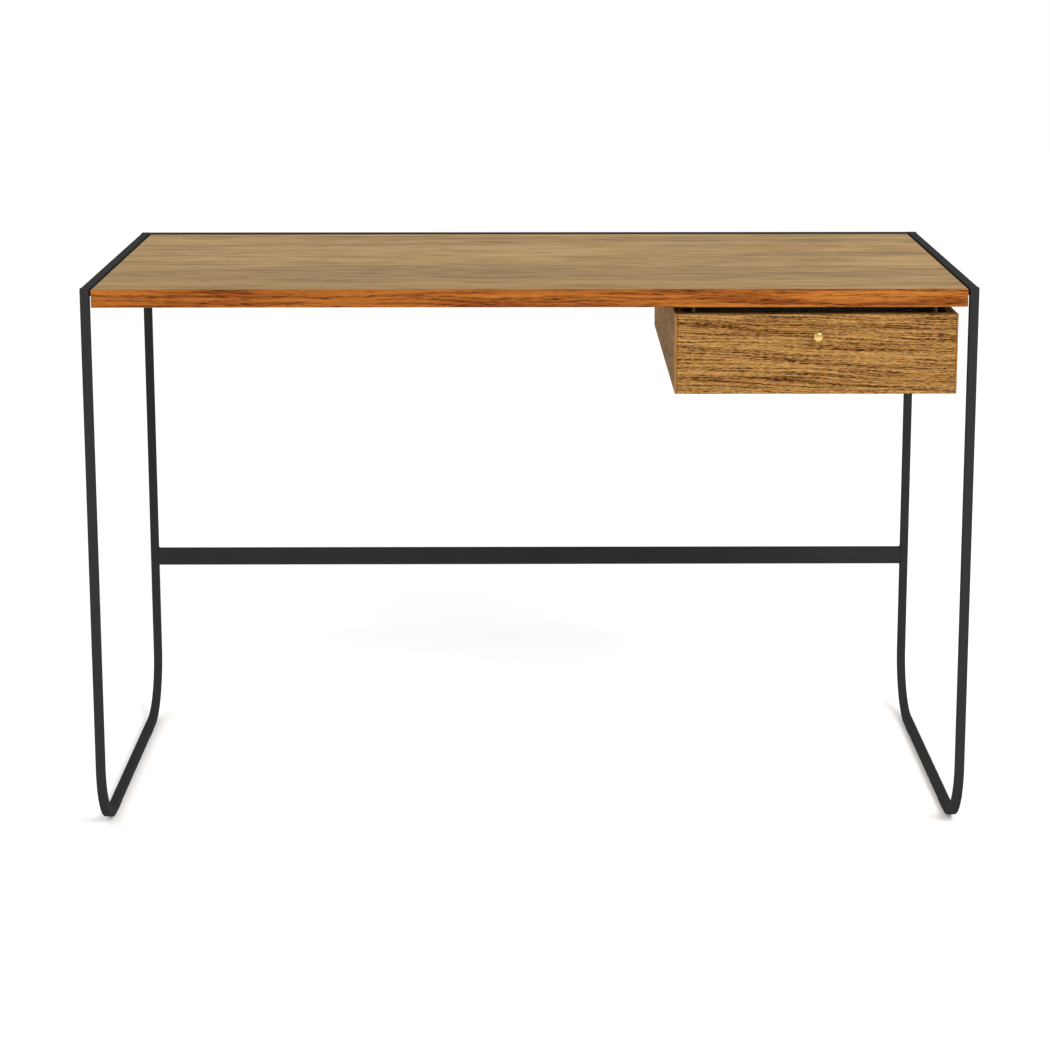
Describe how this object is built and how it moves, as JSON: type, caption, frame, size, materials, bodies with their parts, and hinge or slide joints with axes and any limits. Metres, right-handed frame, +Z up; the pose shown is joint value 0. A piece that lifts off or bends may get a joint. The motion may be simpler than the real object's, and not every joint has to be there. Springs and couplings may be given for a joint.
{
  "type": "writing desk with drawer",
  "caption": "Writing desk with a wooden top on two bent-bar sled frames and a hanging wooden drawer on ball-bearing slides.",
  "frame": {"origin": "on the floor at the centre of the overall box, knob included", "axes": "+Z up; the front with the drawer faces -Y; +X to the right seen from the front, so the drawer is at +X"},
  "size_m": [1.18, 0.609, 0.755],
  "materials": {
    "steel": "fine-textured charcoal powder coat",
    "hanger_steel": "black powder coat",
    "slide_steel": "zinc-plated cold-rolled steel",
    "ball_steel": "polished",
    "zinc": "zinc-plated",
    "nylon": "matt black nylon",
    "top_wood": "oak veneer, satin oil",
    "edge_wood": "solid oak, satin oil",
    "drawer_wood": "oak veneer with dark open pores, satin oil",
    "drawer_bottom_wood": "birch plywood, bare",
    "dowel_wood": "beech, bare",
    "knob_brass": "polished"
  },
  "bodies": {
    "desk_frame": {"left_sled_leg": "steel", "right_sled_leg": "steel", "left_top_bar": "steel", "right_top_bar": "steel", "rear_top_rail": "steel", "rear_stretcher": "steel", "left_support_tabs": "steel", "right_support_tabs": "steel", "rear_support_tabs": "steel", "front_left_glide": "nylon", "front_right_glide": "nylon", "rear_left_glide": "nylon", "rear_right_glide": "nylon", "tabletop_panel": "top_wood", "front_edge_lipping": "edge_wood", "left_tab_screws": "zinc", "right_tab_screws": "zinc", "rear_tab_screws": "zinc", "left_hanger_rail": "hanger_steel", "right_hanger_rail": "hanger_steel", "hanger_tie_rail": "hanger_steel", "hanger_screws": "zinc", "left_slide_outer": "slide_steel", "right_slide_outer": "slide_steel", "slide_to_hanger_screws": "zinc"},
    "slide_carriages": {"left_slide_middle": "slide_steel", "right_slide_middle": "slide_steel", "left_ball_cages": "ball_steel", "right_ball_cages": "ball_steel"},
    "drawer": {"drawer_front": "drawer_wood", "drawer_left_side": "drawer_wood", "drawer_right_side": "drawer_wood", "drawer_back": "drawer_wood", "drawer_bottom": "drawer_bottom_wood", "drawer_dowels": "dowel_wood", "knob": "knob_brass", "knob_screw": "zinc", "slide_to_drawer_screws": "zinc", "left_slide_inner": "slide_steel", "right_slide_inner": "slide_steel"}
  },
  "joints": [
    {"name": "drawer_slide", "type": "slide", "parent": "desk_frame", "child": "drawer", "axis": [0, -1, 0], "range_m": [0, 0.4]},
    {"name": "carriage_slide", "type": "slide", "parent": "desk_frame", "child": "slide_carriages", "axis": [0, -1, 0], "range_m": [0, 0.2]}
  ],
  "couplings": [
    {"joint": "carriage_slide", "follows": "drawer_slide", "ratio": 0.5}
  ]
}
